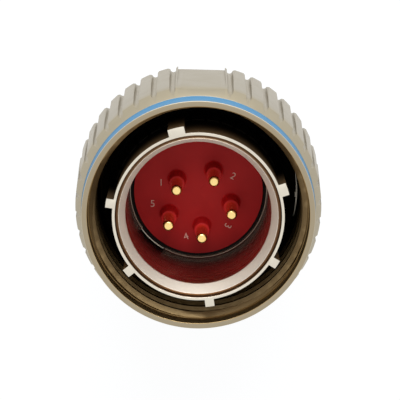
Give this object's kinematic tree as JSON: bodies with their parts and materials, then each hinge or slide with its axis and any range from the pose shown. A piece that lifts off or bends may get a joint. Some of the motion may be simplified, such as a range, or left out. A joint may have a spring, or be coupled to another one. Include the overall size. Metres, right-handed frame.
{
  "type": "circular connector plug",
  "caption": "Threaded circular connector plug: keyed barrel, red insert face with gold pins, and a scalloped coupling ring that turns on a ratchet.",
  "frame": {"origin": "on the axis, at the wire end's toothed face, which the plug stands on", "axes": "+Z along the axis towards the mating end; +Y towards the flat on the coupling ring and the side of the master key; +X to the right seen with the mating end up"},
  "size_m": [0.0356, 0.0354, 0.031],
  "materials": {
    "shell_plating": "bright nickel plating, fine turned marks",
    "ring_plating": "satin olive tan plating with a blue painted band behind the lip",
    "spring_steel": "plain spring steel",
    "clip_bronze": "bare copper alloy",
    "contact_gold": "gold plating",
    "face_rubber": "satin red silicone rubber",
    "seal_rubber": "matt red rubber",
    "insert_plastic": "dark moulded thermoset",
    "grommet_rubber": "matt grey rubber"
  },
  "bodies": {
    "shell": {"plug_shell": "shell_plating", "ratchet_ring": "spring_steel", "thrust_washer": "clip_bronze", "wave_washer": "spring_steel", "ring_retainer": "spring_steel", "peripheral_seal": "seal_rubber", "ground_ring": "spring_steel", "interface_seal": "face_rubber", "front_insert": "insert_plastic", "rear_insert": "insert_plastic", "rear_grommet": "grommet_rubber", "insert_retaining_ring": "spring_steel", "contact_1": "contact_gold", "contact_2": "contact_gold", "contact_3": "contact_gold", "contact_4": "contact_gold", "contact_5": "contact_gold", "contact_clip_1": "clip_bronze", "contact_clip_2": "clip_bronze", "contact_clip_3": "clip_bronze", "contact_clip_4": "clip_bronze", "contact_clip_5": "clip_bronze"},
    "coupling": {"coupling_ring": "ring_plating", "ratchet_spring_1": "spring_steel", "ratchet_spring_2": "spring_steel", "ratchet_spring_3": "spring_steel"}
  },
  "joints": [
    {"name": "ring_turn", "type": "hinge", "parent": "shell", "child": "coupling", "pos_m": [0, 0, 0.02], "axis": [0, 0, 1], "continuous": true, "deforming": ["ratchet_spring_1", "ratchet_spring_2", "ratchet_spring_3"]}
  ]
}
